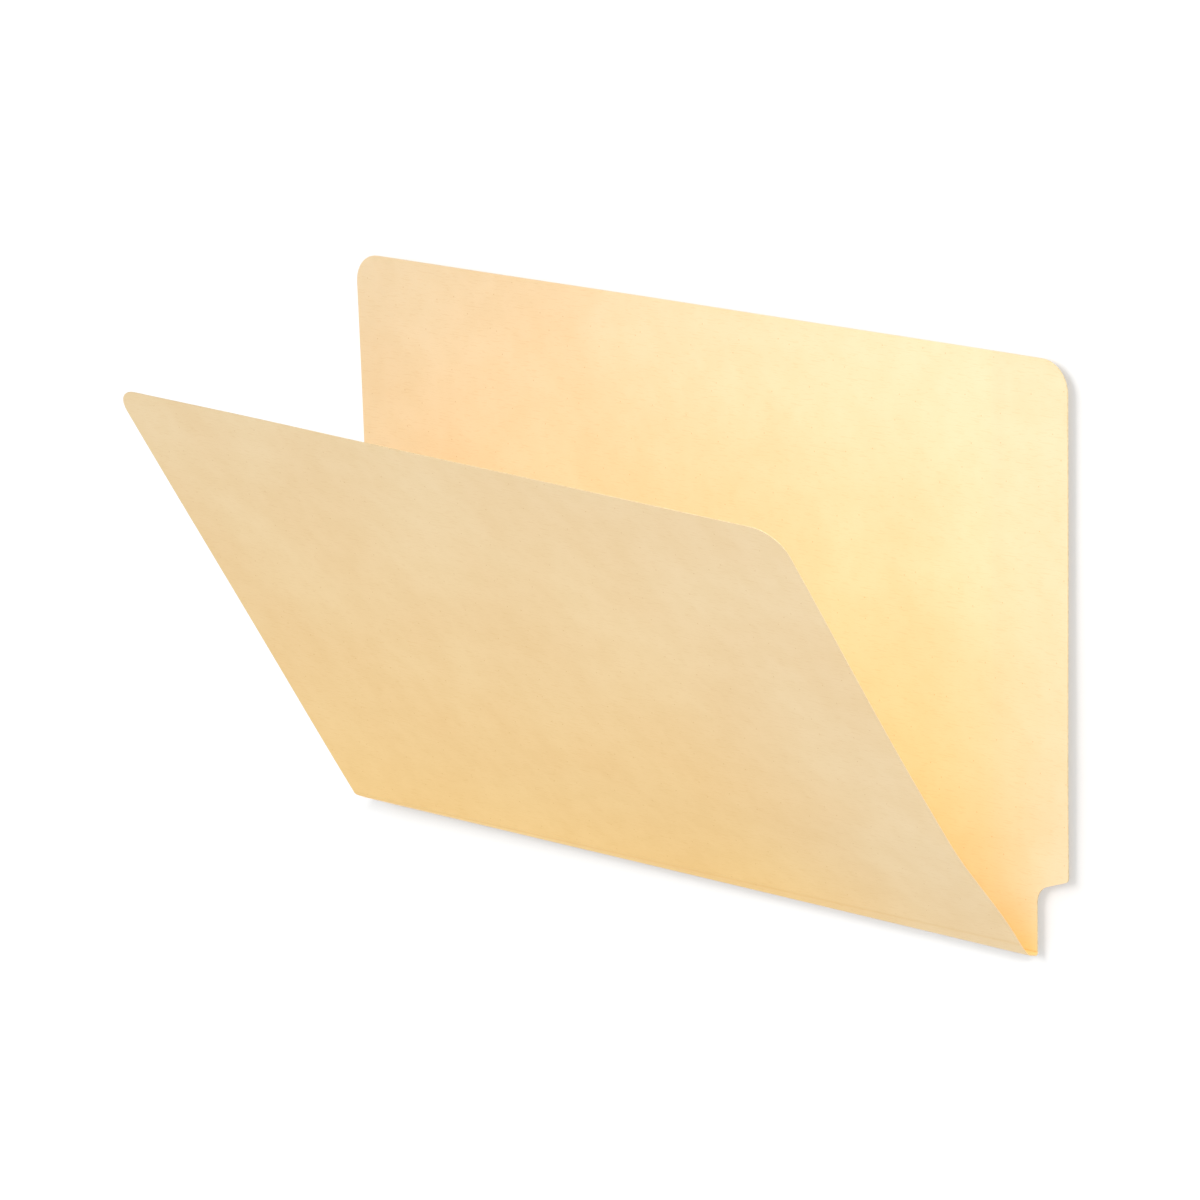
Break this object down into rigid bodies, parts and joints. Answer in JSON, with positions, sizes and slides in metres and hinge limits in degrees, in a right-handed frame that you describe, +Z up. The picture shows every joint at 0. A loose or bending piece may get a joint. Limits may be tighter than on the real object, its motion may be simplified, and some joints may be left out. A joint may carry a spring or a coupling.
{
  "type": "end-tab manila folder",
  "caption": "Manila file folder with a straight end tab on its back leaf, undercut below the tab, and a scored expansion bottom on which the front leaf opens and closes.",
  "frame": {"origin": "middle of the back leaf's body, without the tab, on its outer face, which lies on the desk", "axes": "+X along the fold towards the end tab, +Y from the fold to the top edge of the back leaf, +Z up from the desk"},
  "size_m": [0.3873, 0.242, 0.1523],
  "materials": {
    "manila_board": "matte",
    "manila_ply": "matte"
  },
  "bodies": {
    "back_leaf": {"back_leaf": "manila_board", "tab_reinforcement": "manila_ply"},
    "rear_gusset_strip": {"rear_gusset_strip": "manila_board"},
    "front_gusset_strip": {"front_gusset_strip": "manila_board"},
    "front_leaf": {"front_leaf": "manila_board"}
  },
  "joints": [
    {"name": "rear_score", "type": "hinge", "parent": "back_leaf", "child": "rear_gusset_strip", "pos_m": [0, -0.12065, 0.00014], "axis": [-1, 0, 0], "range_deg": [-86, 4]},
    {"name": "mid_score", "type": "hinge", "parent": "rear_gusset_strip", "child": "front_gusset_strip", "pos_m": [0, -0.12115, 0.00727], "axis": [-1, 0, 0], "range_deg": [-29, 5]},
    {"name": "front_score", "type": "hinge", "parent": "front_gusset_strip", "child": "front_leaf", "pos_m": [0, -0.11813, 0.01374], "axis": [-1, 0, 0], "range_deg": [-30, 26]}
  ]
}
